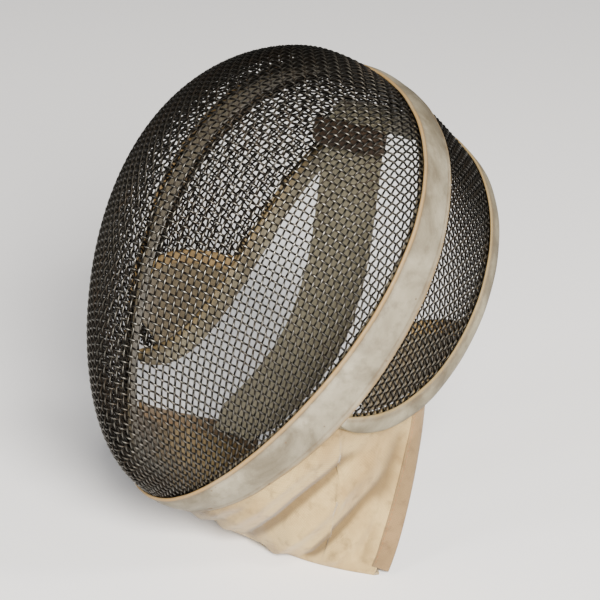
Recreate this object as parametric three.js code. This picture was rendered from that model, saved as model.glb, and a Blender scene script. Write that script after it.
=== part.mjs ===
// A fencing mask: a domed front of woven wire, wire sides, leather bands, a spring tongue and a canvas bib.
// Millimetres, +Z up. The mask looks along -Y, +X is the wearer's left, and it leans back on its bib.
import * as THREE from "three";

// ---- driving dimensions ----
const LEAN = THREE.MathUtils.degToRad(36); // how far the crown leans back
const STAND_HEIGHT = 176; // centre of the front opening above the table

const OPENING_HEIGHT = 300; // crown to chin along the edge of the front mesh
const HALF_WIDTH = 99; // of the same edge, before the egg shape is added
const EGG = 0.155; // how much wider the edge is above its middle
const EDGE_SETBACK = 3; // the edge's middle lies this far behind its ends
const EDGE_SWAY = 7; // and swings forward above the middle, back below it

const BOWL_DEPTH = 112; // of the front mesh, ahead of its edge
const BOWL_LIFT = 8.6; // the bowl's middle stands this much above the edge's
const BOWL_FULLNESS = 0.9; // power of its depth from crown to chin: under 1 is fuller than a half ellipse
const BOWL_CHIN = 0.12; // how much deeper it is towards the chin than the crown, as a part of the depth
const BOWL_WAIST = 0.05; // and in its middle than at both ends
const KEEL_SHARE = 0.2; // part of the bowl's section that is a pointed keel
const KEEL_ROUND = 0.08; // rounding of the keel, as a part of the half width

const MESH_THICKNESS = 2; // two crossed wires
const SKIRT = 13; // the front mesh runs on under the band
const BAND_WIDTH = 29;
const BAND_THICKNESS = 1.8;
const BAND_RIDGE = 1.1; // the band swells along its middle
const TAPE_WIDTH = 16; // inside the joint of front and sides
const TAPE_THICKNESS = 1.2;
const GAP = 0.3; // between neighbouring pieces
const FACET_GAP = 0.5; // between pieces that lie on each other's curved faces
const RING_STEPS = 60; // round the front edge

const WING_START = 15; // the side mesh starts this far behind the front edge
const WING_END = THREE.MathUtils.degToRad(116); // angle round the edge where it stops at the jaw
const WING_LEAD = 0.4; // part of its width over which the side mesh carries on from the band
const SIDE_STEPS = 48; // from jaw to jaw over the crown
const MESH_END = 0.95; // the wires stop this far round, inside the trim
const TRIM_WIDTH = 14;
const TRIM_LEAF = 1.5;
const TRIM_ROUND = 1.5; // the channel's back is rounded over this much

const LINING_TOP_FRONT = 0.8; // the corner linings reach up to this part of the wing at the band
const LINING_TOP_REAR = 0.65; // and to this part at the rear trim
const LINING_END = 0.92;
const LINING_THICKNESS = 1.2;
const BINDING_PART = 0.028; // half the width of the binding on their top edge, as a part of the wing
const BINDING_THICKNESS = 1.8;

const TONGUE_WIDTH = 50;
const TONGUE_THICKNESS = 4;
const TONGUE_BEVEL = 3; // its side edges thin out over this much
const TONGUE_TIP = 0.07; // part of its length over which the tip narrows
const TONGUE_TAPER = 0.35; // by this part of its width
const PAD = new THREE.Vector3(62, 7, 18);
const PAD_PLACE = new THREE.Vector3(0, 31.75, 113); // from the middle of the front opening
const PAD_TILT = THREE.MathUtils.degToRad(24);

const BIB_THICKNESS = 1.5;
const BIB_START = TAPE_WIDTH + 1; // the bib is sewn in this far behind the front edge
const BIB_END = 0.985; // it stops at this part of the way to each jaw, where its hem starts
const BIB_SWELL = 0.8; // it carries on from the band over this part of a third of its drop
const HEM_WIDTH = 8;
const HEM_THICKNESS = 3.4;
const HEM_DROP = [0.09, 0.93]; // the hems' ends, from the band at 0 to the table at 1

// The rear edge of the sides, from the crown to the left jaw: x, distance behind the opening, height.
const REAR_EDGE = [
  new THREE.Vector3(0, 96, 144),
  new THREE.Vector3(69, 97, 144),
  new THREE.Vector3(118, 115, 112),
  new THREE.Vector3(96, 137, -59),
  new THREE.Vector3(87, 32.5, -69),
];

// ---- materials ----
const wire = new THREE.MeshStandardMaterial({ color: 0x5b5a52, roughness: 0.4, metalness: 0.9 });
const leather = new THREE.MeshStandardMaterial({ color: 0xd8d0bd, roughness: 0.65 });
const canvas = new THREE.MeshStandardMaterial({ color: 0xd9c7a4, roughness: 0.9 });
const hemCanvas = new THREE.MeshStandardMaterial({ color: 0xc9a679, roughness: 0.9 });
const lining = new THREE.MeshStandardMaterial({ color: 0x9c8a66, roughness: 0.95 });
const brownLeather = new THREE.MeshStandardMaterial({ color: 0x5a4028, roughness: 0.7 });

// ---- helpers ----
const BACK = new THREE.Vector3(0, 1, 0);
const TURN = 2 * Math.PI;

const lerp = THREE.MathUtils.lerp;
const steps = (count, from, to) => Array.from({ length: count + 1 }, (_, i) => lerp(from, to, i / count));
const along = (point, direction, distance) => point.clone().addScaledVector(direction, distance);
const smooth = (x) => THREE.MathUtils.smoothstep(x, 0, 1);

// A closed mesh from points and triangles. Its faces are turned outwards by the sign of its volume.
function closedGeometry(points, triangles) {
  const volume = triangles.reduce((sum, [a, b, c]) => {
    const normal = new THREE.Vector3().crossVectors(points[b], points[c]);
    return sum + points[a].dot(normal);
  }, 0);
  const faces = volume < 0 ? triangles.map(([a, b, c]) => [a, c, b]) : triangles;
  const geometry = new THREE.BufferGeometry().setFromPoints(points);
  geometry.setIndex(faces.flat());
  geometry.computeVertexNormals();
  return geometry;
}

// Normals of a grid of points, from the differences between neighbours. ring: its columns close.
function gridNormals(grid, ring) {
  const last = grid.length - 1;
  return grid.map((row, i) =>
    row.map((_, j) => {
      const n = row.length;
      const left = ring ? (j + n - 1) % n : Math.max(j - 1, 0);
      const right = ring ? (j + 1) % n : Math.min(j + 1, n - 1);
      const above = grid[Math.max(i - 1, 0)][j];
      const down = new THREE.Vector3().subVectors(grid[Math.min(i + 1, last)][j], above);
      const across = new THREE.Vector3().subVectors(row[right], row[left]);
      return new THREE.Vector3().crossVectors(across, down).normalize();
    }),
  );
}

// A wall of even thickness about a grid. ring: columns close; pole: the first row is one point.
function wall(grid, thickness, { ring = false, pole = false, normals = gridNormals(grid, ring) } = {}) {
  if (pole) {
    const mean = normals[1].reduce((sum, n) => sum.add(n), new THREE.Vector3()).normalize();
    normals[0].forEach((n) => n.copy(mean));
  }
  const rows = grid.length;
  const columns = grid[0].length;
  const points = [];
  for (const side of [0.5, -0.5]) {
    grid.forEach((row, i) =>
      row.forEach((p, j) => points.push(along(p, normals[i][j], side * thickness))),
    );
  }
  const index = (side, i, j) => (side * rows + i) * columns + (pole && i === 0 ? 0 : j % columns);
  const triangles = [];
  const quad = (a, b, c, d) => {
    if (a !== b) triangles.push([a, b, c]);
    if (c !== d) triangles.push([a, c, d]);
  };
  const spans = ring ? columns : columns - 1;
  for (let i = 0; i < rows - 1; i++) {
    for (let j = 0; j < spans; j++) {
      quad(index(0, i, j), index(0, i, j + 1), index(0, i + 1, j + 1), index(0, i + 1, j));
      quad(index(1, i, j), index(1, i + 1, j), index(1, i + 1, j + 1), index(1, i, j + 1));
    }
    if (!ring) {
      quad(index(0, i, 0), index(0, i + 1, 0), index(1, i + 1, 0), index(1, i, 0));
      const e = columns - 1;
      quad(index(0, i, e), index(1, i, e), index(1, i + 1, e), index(0, i + 1, e));
    }
  }
  for (let j = 0; j < spans; j++) {
    const f = rows - 1;
    quad(index(0, f, j), index(0, f, j + 1), index(1, f, j + 1), index(1, f, j));
    if (!pole) quad(index(0, 0, j), index(1, 0, j), index(1, 0, j + 1), index(0, 0, j + 1));
  }
  return closedGeometry(points, triangles);
}

// A closed outline carried along a path that closes on itself, or with both ends filled.
function carried(outline, sections, ring = false) {
  const n = outline.length;
  const triangles = ring ? [] : endFaces(outline, (sections.length - 1) * n);
  const spans = ring ? sections.length : sections.length - 1;
  for (let i = 0; i < spans; i++) {
    const next = (i + 1) % sections.length;
    for (let j = 0; j < n; j++) {
      const k = (j + 1) % n;
      triangles.push([i * n + j, i * n + k, next * n + k], [i * n + j, next * n + k, next * n + j]);
    }
  }
  return closedGeometry(sections.flat(), triangles);
}

// The outline cut into triangles, once for the first section and once, turned round, for the last.
function endFaces(outline, last) {
  const flat = outline.map(([x, y]) => new THREE.Vector2(x, y));
  const turned = THREE.ShapeUtils.isClockWise(flat);
  const faces = THREE.ShapeUtils.triangulateShape(flat, []).map(([a, b, c]) => {
    const same = THREE.ShapeUtils.isClockWise([flat[a], flat[b], flat[c]]) === turned;
    return same ? [a, b, c] : [a, c, b];
  });
  const start = faces.map(([a, b, c]) => [a, c, b]);
  const end = faces.map((face) => face.map((k) => k + last));
  return [...start, ...end];
}

// ---- the front edge: an egg-shaped loop, angle 0 at the crown and half a turn at the chin ----
const halfWidth = (angle) => HALF_WIDTH * (Math.sin(angle) + EGG * Math.sin(2 * angle));
const setback = (angle) => Math.sin(angle) ** 2 * (EDGE_SETBACK - EDGE_SWAY * Math.cos(angle));
const edge = (angle) =>
  new THREE.Vector3(halfWidth(angle), setback(angle), (OPENING_HEIGHT / 2) * Math.cos(angle));

// Away from the middle of the opening, square to the edge.
function outwards(angle) {
  const rise = HALF_WIDTH * (Math.cos(angle) + 2 * EGG * Math.cos(2 * angle));
  return new THREE.Vector3((OPENING_HEIGHT / 2) * Math.sin(angle), 0, rise).normalize();
}

// The band flares outwards as it runs back, most at the ears and jaw.
const flare = (angle) => THREE.MathUtils.degToRad(9.2 - 7 * Math.cos(2 * angle) + 7 * Math.cos(3 * angle));
function bandFrame(angle) {
  const out = outwards(angle);
  const tilt = flare(angle);
  const across = out.clone().multiplyScalar(Math.sin(tilt)).addScaledVector(BACK, Math.cos(tilt));
  const normal = out.clone().multiplyScalar(Math.cos(tilt)).addScaledVector(BACK, -Math.sin(tilt));
  return { origin: edge(angle), across, normal };
}
const framePoint = ({ origin, across, normal }, distance, height) =>
  along(along(origin, across, distance), normal, height);

// ---- front mesh ----
// A bowl: each level's section is part half-ellipse, part keel. distance is 0 at the nose, 1 at the edge.
function bowlPoint(angle, distance) {
  const flat = edge(angle).multiplyScalar(distance);
  const level = THREE.MathUtils.clamp(flat.z / (OPENING_HEIGHT / 2), -1, 1);
  const around = Math.acos(level);
  const side = Math.min(1, Math.abs(flat.x) / Math.max(halfWidth(around), 1e-6));
  const round = Math.sqrt(1 - side * side);
  const keel =
    1 - (Math.hypot(side, KEEL_ROUND) - KEEL_ROUND) / (Math.hypot(1, KEEL_ROUND) - KEEL_ROUND);
  const fullness = Math.sin(around) ** BOWL_FULLNESS;
  const depth = BOWL_DEPTH * fullness * (1 - BOWL_CHIN * level - BOWL_WAIST * Math.cos(2 * around));
  const rise = distance < 1 ? depth * ((1 - KEEL_SHARE) * round + KEEL_SHARE * keel) : 0;
  const lift = distance < 1 ? BOWL_LIFT * round * Math.sin(around) : 0;
  return new THREE.Vector3(flat.x, setback(around) - rise, flat.z + lift);
}

function frontMesh() {
  const angles = steps(RING_STEPS, 0, TURN).slice(0, -1);
  const rows = steps(11, 0, Math.PI / 2).map((phi) => angles.map((a) => bowlPoint(a, Math.sin(phi))));
  rows[rows.length - 1] = angles.map((a) => edge(a));
  rows.push(angles.map((a) => framePoint(bandFrame(a), SKIRT, 0)));
  return wall(rows, MESH_THICKNESS, { ring: true, pole: true });
}

// ---- front band, outside the joint, and the tape inside it ----
function ringStrip(outline) {
  const angles = steps(RING_STEPS, 0, TURN).slice(0, -1);
  const section = (a) => outline.map(([distance, height]) => framePoint(bandFrame(a), distance, height));
  return carried(outline, angles.map(section), true);
}

const OUTER_FACE = MESH_THICKNESS / 2 + FACET_GAP;
function frontBand() {
  const top = OUTER_FACE + BAND_THICKNESS;
  return ringStrip([
    [1.5, OUTER_FACE],
    [1.5, top - 0.5],
    [3, top],
    [BAND_WIDTH * 0.4, top + BAND_RIDGE],
    [BAND_WIDTH * 0.75, top + BAND_RIDGE * 0.4],
    [BAND_WIDTH - 1, top - 0.2],
    [BAND_WIDTH, OUTER_FACE],
  ]);
}

function jointTape() {
  return ringStrip([
    [1, -OUTER_FACE],
    [TAPE_WIDTH, -OUTER_FACE],
    [TAPE_WIDTH, -OUTER_FACE - TAPE_THICKNESS],
    [1, -OUTER_FACE - TAPE_THICKNESS],
  ]);
}

// ---- side mesh: crown and both wings in one arch, from under the band to the rear edge ----
// part runs from -1 at the right jaw over 0 at the crown to 1 at the left jaw.
// The rear edge is a Bezier curve: its points are mixed pair by pair until one is left.
function rearEdge(part) {
  const t = Math.abs(part);
  let points = REAR_EDGE;
  while (points.length > 1) {
    points = points.slice(1).map((next, i) => points[i].clone().lerp(next, t));
  }
  const [point] = points;
  point.x *= Math.sign(part) || 1;
  return point;
}

function wingPoint(part, share) {
  const frame = bandFrame(part * WING_END);
  const start = framePoint(frame, WING_START, 0);
  const rear = rearEdge(part);
  const lead = along(start, frame.across, WING_LEAD * start.distanceTo(rear));
  return lead.lerpVectors(start.lerp(lead, share), lead.clone().lerp(rear, share), share);
}

// A point beside the side mesh: how far in front of the rear edge, and how far outside the mesh's middle.
function sidePoint(part, inFront, height) {
  const { across, normal, share } = sideFrame(part, inFront);
  const onMesh = share > 1 ? along(wingPoint(part, 1), across, -inFront) : wingPoint(part, share);
  return along(onMesh, normal, height);
}

// The side mesh's own directions there: across towards the rear, and the outward normal.
function sideFrame(part, inFront) {
  const step = 1e-3;
  const start = framePoint(bandFrame(part * WING_END), WING_START, 0);
  const share = 1 - inFront / start.distanceTo(rearEdge(part));
  const at = Math.min(share, 1);
  const across = new THREE.Vector3().subVectors(wingPoint(part, at + step), wingPoint(part, at - step));
  const tangent = new THREE.Vector3().subVectors(wingPoint(part + step, at), wingPoint(part - step, at));
  const normal = new THREE.Vector3().crossVectors(tangent, across).normalize();
  if (normal.dot(bandFrame(part * WING_END).normal) < 0) normal.negate();
  return { across: across.normalize(), normal, share };
}

function sideMesh() {
  const parts = steps(SIDE_STEPS, -MESH_END, MESH_END);
  const rows = steps(5, 0, 1).map((share) => parts.map((p) => wingPoint(p, share)));
  rows[rows.length - 1] = parts.map((p) => sidePoint(p, TRIM_LEAF + GAP, 0));
  return wall(rows, MESH_THICKNESS);
}

// ---- rear trim: a leather channel folded over the rear edge of the sides ----
// Each line of the channel stops just short of the rear edge of the front band.
const TRIM_CLEARANCE = GAP + 0.8;
function trimEnd(offset) {
  let low = 0.7;
  let high = 1.06;
  for (let i = 0; i < 30; i++) {
    const middle = (low + high) / 2;
    const reach = rearEdge(middle).distanceTo(edge(middle * WING_END)) - offset;
    if (reach > BAND_WIDTH + TRIM_CLEARANCE) low = middle;
    else high = middle;
  }
  return low;
}

function rearTrim() {
  const outer = OUTER_FACE + TRIM_LEAF;
  const outline = [
    [-TRIM_WIDTH, OUTER_FACE],
    [-TRIM_WIDTH, outer - 0.4],
    [-TRIM_WIDTH / 2, outer + 0.3],
    [-TRIM_ROUND, outer],
    [0, outer * 0.4],
    [0, -outer * 0.4],
    [-TRIM_ROUND, -outer],
    [-TRIM_WIDTH, -outer],
    [-TRIM_WIDTH, -OUTER_FACE],
    [-TRIM_LEAF, -OUTER_FACE],
    [-TRIM_LEAF, OUTER_FACE],
  ];
  const ends = outline.map(([distance]) => trimEnd(-distance));
  const sections = steps(SIDE_STEPS, -1, 1).map((p) =>
    outline.map(([distance, height], i) => sidePoint(p * ends[i], -distance, height)),
  );
  return carried(outline, sections);
}

// ---- corner linings inside the lower end of each wing, with a bound top edge ----
const LINING_FACE = OUTER_FACE + LINING_THICKNESS / 2 + 0.4;
function liningGrid(side, fromTop, toTop, columns) {
  return steps(5, 0, 1).map((share) =>
    steps(columns, 0, 1).map((t) => {
      const top = lerp(LINING_TOP_FRONT, LINING_TOP_REAR, share);
      const part = lerp(top + fromTop, toTop === null ? LINING_END : top + toTop, t);
      const start = framePoint(bandFrame(part * WING_END), WING_START, 0);
      const length = start.distanceTo(rearEdge(part));
      const inFront = lerp(length - 3, TRIM_WIDTH + 0.6, share);
      const point = sidePoint(part, inFront, -LINING_FACE);
      point.x *= side;
      return point;
    }),
  );
}

function cornerLining(side) {
  return wall(liningGrid(side, BINDING_PART + 0.005, null, 8), LINING_THICKNESS);
}

function liningBinding(side) {
  return wall(liningGrid(side, -BINDING_PART, BINDING_PART, 2), BINDING_THICKNESS);
}

// ---- spring tongue: a covered steel strip that hangs from the crown inside the rear opening ----
// Its line lies in the middle plane: distance behind the opening's centre, height from it, before the lean.
const TONGUE_LINE = [
  [84, 138.5],
  [72, 139.5],
  [58, 140.5],
  [44, 140],
  [35.5, 132],
  [36, 118],
  [44, 100],
  [57, 74],
  [71, 43],
  [79, 12],
  [79, -18],
  [70, -47],
  [57, -72],
  [46, -92],
];

function springTongue() {
  const curve = new THREE.CatmullRomCurve3(TONGUE_LINE.map(([back, up]) => new THREE.Vector3(0, back, up)));
  const half = TONGUE_WIDTH / 2;
  const thick = TONGUE_THICKNESS / 2;
  const outline = [
    [-half, -thick * 0.4],
    [-half + TONGUE_BEVEL, -thick],
    [half - TONGUE_BEVEL, -thick],
    [half, -thick * 0.4],
    [half, thick * 0.4],
    [half - TONGUE_BEVEL, thick],
    [-half + TONGUE_BEVEL, thick],
    [-half, thick * 0.4],
  ];
  const sections = steps(34, 0, 1).map((t) => {
    const p = curve.getPointAt(t);
    const normal = new THREE.Vector3().crossVectors(new THREE.Vector3(1, 0, 0), curve.getTangentAt(t));
    const taper = 1 - TONGUE_TAPER * smooth((t - 1 + TONGUE_TIP) / TONGUE_TIP);
    return outline.map(([x, height]) => along(p, normal, height).setX(x * taper));
  });
  return carried(outline, sections);
}

// ---- crown pad, in front of the tongue's root ----
function crownPad() {
  return new THREE.BoxGeometry(PAD.x, PAD.y, PAD.z, 6, 1, 3);
}

// ---- the mask, leaning back ----
const mask = new THREE.Group();
mask.rotation.x = -LEAN;
mask.position.z = STAND_HEIGHT;
mask.updateMatrix();

function add(parent, name, geometry, material) {
  const mesh = new THREE.Mesh(geometry, material);
  mesh.name = name;
  parent.add(mesh);
  return mesh;
}

add(mask, "front_mesh", frontMesh(), wire);
add(mask, "side_mesh", sideMesh(), wire);
add(mask, "front_band", frontBand(), leather);
add(mask, "joint_tape", jointTape(), lining);
add(mask, "rear_trim", rearTrim(), leather);
add(mask, "spring_tongue", springTongue(), lining);
for (const [name, side] of [["left", 1], ["right", -1]]) {
  add(mask, `corner_lining_${name}`, cornerLining(side), lining);
  add(mask, `lining_binding_${name}`, liningBinding(side), brownLeather);
}
const pad = add(mask, "crown_pad", crownPad(), brownLeather);
pad.position.copy(PAD_PLACE);
pad.rotation.x = PAD_TILT;

// ---- bib: canvas from jaw to jaw, down to the table, its lower part lying flat ----
// Seen from above, from the right end to the left: the line where it meets the table, and its bottom edge.
const TABLE_LINE = [
  [-88, 106],
  [-80, 60],
  [-60, 27],
  [-34, 10],
  [-4, 1],
  [25, -5],
  [54, -7],
  [80, -2],
  [102.5, 6],
];
const BOTTOM_EDGE = [
  [-86, 108],
  [-66, 98],
  [-46, 88],
  [-22, 78],
  [0, 70],
  [30, 60],
  [58, 46],
  [84, 26],
  [104, 7.5],
];
const planCurve = (list) => new THREE.CatmullRomCurve3(list.map(([x, y]) => new THREE.Vector3(x, y, 0)));
const tableCurve = planCurve(TABLE_LINE);
const bottomCurve = planCurve(BOTTOM_EDGE);

// The sewn edge: part 0 at the chin, 1 at its left end inside the rear trim, -1 at its right end on the band.
// Its points are on the table's frame.
const JAW_SHARE = 0.62; // of the left half runs along the front band, the rest along the rear trim
const HEM_PART = 0.78; // where the left hem starts, as a part of the wing
const RIGHT_END = THREE.MathUtils.degToRad(129); // the right half stays on the band, up to here
const SEWN_SETBACK = 7; // in front of the rear edge
const SEWN_LEVEL = -(OUTER_FACE + TRIM_LEAF + BIB_THICKNESS / 2 + 1.5); // inside the rear trim
const BAND_LEVEL = -0.4; // and behind the front mesh's skirt
const TURN_IN = 8; // its setback grows by this much as it leaves the band for the trim
function sewnEdge(part) {
  const t = Math.abs(part);
  let point;
  let direction;
  if (part < 0) {
    const frame = bandFrame(Math.PI - (Math.PI - RIGHT_END) * t);
    point = framePoint(frame, BIB_START, BAND_LEVEL);
    direction = frame.across;
  } else if (t < JAW_SHARE) {
    const frame = bandFrame(Math.PI - (Math.PI - WING_END) * (t / JAW_SHARE));
    const turnIn = smooth((t / JAW_SHARE - 0.72) / 0.28);
    const level = lerp(BAND_LEVEL, SEWN_LEVEL, turnIn);
    point = framePoint(frame, BIB_START + TURN_IN * turnIn, level);
    direction = frame.across;
  } else {
    const place = THREE.MathUtils.mapLinear(t, JAW_SHARE, 1, 1, HEM_PART);
    point = sidePoint(place, SEWN_SETBACK, SEWN_LEVEL);
    direction = sideFrame(place, SEWN_SETBACK).across;
  }
  point.applyMatrix4(mask.matrix);
  direction.transformDirection(mask.matrix);
  const side = Math.sign(part) || 1;
  point.x *= side;
  direction.x *= side;
  return { point, direction };
}

// Pleats run from the jaw down towards the middle. Each: place at the sewn edge, place at the table, height.
const PLEATS = [
  [0.6, 0.3, 3.5],
  [0.74, 0.52, 3.5],
  [0.92, 0.78, 3],
  [-0.6, -0.35, 3],
  [-0.8, -0.6, 3],
];
const PLEAT_WIDTH = 0.05;
function pleatHeight(part, drop) {
  return PLEATS.reduce((sum, [top, foot, height]) => {
    const away = (part - lerp(top, foot, drop)) / PLEAT_WIDTH;
    return sum + height * Math.sin(Math.PI * drop) * Math.exp(-away * away);
  }, 0);
}

const DROP_ROWS = 10;
const FLAT_ROWS = 3;
const REST = BIB_THICKNESS / 2;
function bibColumn(part, drops) {
  const { point, direction } = sewnEdge(part);
  const place = (part + 1) / 2;
  const foot = tableCurve.getPoint(place).setZ(REST);
  const reach = point.distanceTo(foot) / 3;
  const lead = along(point, direction, reach * BIB_SWELL);
  const fall = foot.clone().lerp(point, 0.3).setZ(REST + reach * (0.25 + 0.5 * Math.max(0, -part)));
  const drop = new THREE.CubicBezierCurve3(point, lead, fall, foot);
  return drops.map((t) => drop.getPoint(t));
}

function bib() {
  const parts = steps(56, -BIB_END, BIB_END);
  const drops = steps(DROP_ROWS, 0, 1);
  const columns = parts.map((part) => {
    const foot = tableCurve.getPoint((part + 1) / 2).setZ(REST);
    const tip = bottomCurve.getPoint((part + 1) / 2).setZ(REST);
    const flat = steps(FLAT_ROWS, 0, 1).slice(1).map((t) => foot.clone().lerp(tip, t));
    return [...bibColumn(part, drops), ...flat];
  });
  const grid = columns[0].map((_, i) => columns.map((column) => column[i]));
  const normals = gridNormals(grid, false);
  drops.forEach((drop, i) =>
    parts.forEach((part, j) => grid[i][j].addScaledVector(normals[i][j], -pleatHeight(part, drop))),
  );
  const downwards = Math.sign(normals[grid.length - 1][parts.length / 2 | 0].z);
  normals.slice(DROP_ROWS).forEach((row) => row.forEach((n) => n.set(0, 0, downwards)));
  return wall(grid, BIB_THICKNESS, { normals });
}

// The folded hem down each side edge of the bib.
function bibHem(side) {
  const outline = [
    [GAP, -HEM_THICKNESS / 2],
    [HEM_WIDTH - 1, -HEM_THICKNESS / 2],
    [HEM_WIDTH, 0],
    [HEM_WIDTH - 1, HEM_THICKNESS / 2],
    [GAP, HEM_THICKNESS / 2],
  ];
  const drops = steps(13, ...HEM_DROP);
  const edgeLine = bibColumn(side * BIB_END, drops);
  const inner = bibColumn(side * (BIB_END - 0.025), drops);
  const sections = edgeLine.map((p, i) => {
    const outward = new THREE.Vector3().subVectors(p, inner[i]);
    const tangent = new THREE.Vector3()
      .subVectors(edgeLine[Math.min(i + 1, drops.length - 1)], edgeLine[Math.max(i - 1, 0)])
      .normalize();
    outward.projectOnPlane(tangent).normalize();
    const normal = new THREE.Vector3().crossVectors(tangent, outward);
    return outline.map(([distance, height]) => along(along(p, outward, distance), normal, height));
  });
  return carried(outline, sections);
}

const object = new THREE.Group();
object.add(mask);
add(object, "bib", bib(), canvas);
add(object, "bib_hem_left", bibHem(1), hemCanvas);
add(object, "bib_hem_right", bibHem(-1), hemCanvas);

// The origin: under the middle of the whole object, on the table.
object.updateMatrixWorld(true);
const box = new THREE.Box3().setFromObject(object, true);
object.position.set(0, -(box.min.y + box.max.y) / 2, -box.min.z);

export default object;
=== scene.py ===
"""A fencing mask of woven wire, leather bands and canvas, leaning back on its folded bib.

Every piece is a surface worked out from the driving dimensions below, in millimetres. The mask's own
frame has x to the wearer's left, `back` behind the plane of the front opening and `up` towards the
crown. place() leans it back and stands it in the row frame, and finished() turns the millimetres to
metres.
"""

import bpy
import numpy as np
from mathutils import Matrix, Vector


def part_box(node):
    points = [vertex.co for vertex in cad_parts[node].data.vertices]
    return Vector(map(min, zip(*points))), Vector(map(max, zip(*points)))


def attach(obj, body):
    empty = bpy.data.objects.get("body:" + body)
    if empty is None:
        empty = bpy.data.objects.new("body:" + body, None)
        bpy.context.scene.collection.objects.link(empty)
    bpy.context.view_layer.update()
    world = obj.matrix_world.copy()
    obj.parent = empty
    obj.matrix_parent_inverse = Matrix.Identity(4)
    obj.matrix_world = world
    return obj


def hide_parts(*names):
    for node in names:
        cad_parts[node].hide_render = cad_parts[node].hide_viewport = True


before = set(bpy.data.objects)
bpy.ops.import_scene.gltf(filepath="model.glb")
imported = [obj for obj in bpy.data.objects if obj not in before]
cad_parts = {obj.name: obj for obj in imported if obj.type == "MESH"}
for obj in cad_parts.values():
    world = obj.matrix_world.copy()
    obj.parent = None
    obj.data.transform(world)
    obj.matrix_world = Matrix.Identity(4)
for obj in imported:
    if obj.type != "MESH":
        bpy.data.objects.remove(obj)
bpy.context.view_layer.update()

# ---- driving dimensions, in millimetres and degrees ----
LEAN = np.radians(36)
STAND_HEIGHT = 176
HALF_HEIGHT = 150
HALF_WIDTH = 99
EGG = 0.155
EDGE_SETBACK, EDGE_SWAY = 3, 7
BOWL_DEPTH, BOWL_LIFT, BOWL_FULLNESS, BOWL_CHIN, BOWL_WAIST = 112, 8.6, 0.9, 0.12, 0.05
KEEL_SHARE, KEEL_ROUND = 0.2, 0.08
WING_START, WING_END, WING_LEAD, MESH_END = 15, np.radians(116), 0.4, 0.95
REAR_EDGE = np.array([[0, 96, 144], [69, 97, 144], [118, 115, 112], [96, 137, -59], [87, 32.5, -69]], float)
PAD_PLACE = np.array([0, 31.75, 113.0])
PAD_TILT = np.radians(24)
PAD_SIZE = np.array([62, 7, 18.0])

WIRE_RADIUS = 0.71
ACROSS_PITCH, DOWN_PITCH = 5.0, 4.3  # between the bowl's across wires, and between its down wires
WING_PITCH = 4.4
CROSSING_STEPS = 3  # points on a wire from one crossing to the next
WIRE_SIDES = 5

BAND_WIDTH, BAND_FACE, BAND_RINGS = 29, 3.6, 420  # its face's height over the wire, and the outlines round it
TAPE_LENGTH, TAPE_RINGS = 760, 300
TRIM_WIDTH, TRIM_END, TRIM_RINGS = 14, 30.1, 281
REAR_GAP = 2  # from the ends of the side wire to the rear edge, inside the trim
LINING_LEVEL = -2.5
LINING_TOP, LINING_END = (0.8, 0.65), 0.92

BIB_THICKNESS = 1.5
BIB_COLUMNS, BIB_ROWS, FLAT_ROWS = 301, 81, 16  # points along it, down it, and on the table
BIB_START, BIB_END, BIB_SWELL = 17, 0.985, 0.8
JAW_SHARE, HEM_PART, RIGHT_END = 0.62, 0.78, np.radians(129)
SEWN_SETBACK, SEWN_LEVEL, BAND_LEVEL, TURN_IN = 7, -5.25, -0.4, 8
HEM_WIDTH, HEM_THICKNESS, HEM_DROP, HEM_RINGS = 8, 3.4, (0.09, 0.93), 121
STITCH_INSET, STITCH_LEVEL, STITCH_PITCH, STITCH_LENGTH = -1.6, 1.55, 3.2, 2.4

# Where the bib meets the table and where it ends under the mask, seen from above, right to left.
TABLE_LINE = [[-88, 106], [-80, 60], [-60, 27], [-34, 10], [-4, 1], [25, -5], [54, -7], [80, -2], [102.5, 6]]
BOTTOM_EDGE = [[-86, 108], [-66, 98], [-46, 88], [-22, 78], [0, 70], [30, 60], [58, 46], [84, 26], [104, 7.5]]

# The covered tongue's line in the middle plane: back, up.
TONGUE_LINE = [
    [84, 138.5], [72, 139.5], [58, 140.5], [44, 140], [35.5, 132], [36, 118], [44, 100],
    [57, 74], [71, 43], [79, 12], [79, -18], [70, -47], [57, -72], [46, -92],
]
TONGUE_WIDTH, TONGUE_THICKNESS, TONGUE_LENGTH = 50, 4, 240

# Folds of the bib: from (part, drop) to (part, drop), bow in mm, height in mm, half width in mm.
CLOTH_SPAN = np.array([150, 95.0])  # millimetres for the whole of a part and of a drop
FOLDS = [
    ((0.74, 0.08), (0.02, 0.6), 7, 5.6, 8),
    ((0.78, 0.24), (0.1, 0.82), 6, -5.2, 5),
    ((0.82, 0.3), (0.24, 1.0), 5, 6.4, 8),
    ((0.88, 0.42), (0.44, 1.05), 3, -4.6, 5),
    ((0.92, 0.5), (0.6, 1.1), 2, 4.6, 8),
    ((0.93, 0.12), (0.86, 0.95), 2, -2.6, 8),
    ((0.5, 0.06), (-0.12, 0.5), 5, 3.2, 7),
    ((0.42, 0.2), (-0.1, 0.7), 5, -3.2, 5),
    ((-0.3, 0.1), (-0.6, 0.8), 6, 3.0, 10),
    ((-0.6, 0.12), (-0.8, 0.85), 5, 3.0, 10),
]


# ---- small array helpers ----
def unit(v):
    return v / np.maximum(np.linalg.norm(v, axis=-1, keepdims=True), 1e-9)


def mix(a, b, t):
    return a + (b - a) * t


def smooth(x):
    x = np.clip(x, 0, 1)
    return x * x * (3 - 2 * x)


def signed_power(value, power):
    """A power of the size, with the sign kept: the way a rounded square is made from a circle's cosine
    and sine."""
    return np.sign(value) * np.abs(value) ** power


def vec(x, y, z):
    return np.stack(np.broadcast_arrays(x, y, z), axis=-1).astype(float)


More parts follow.
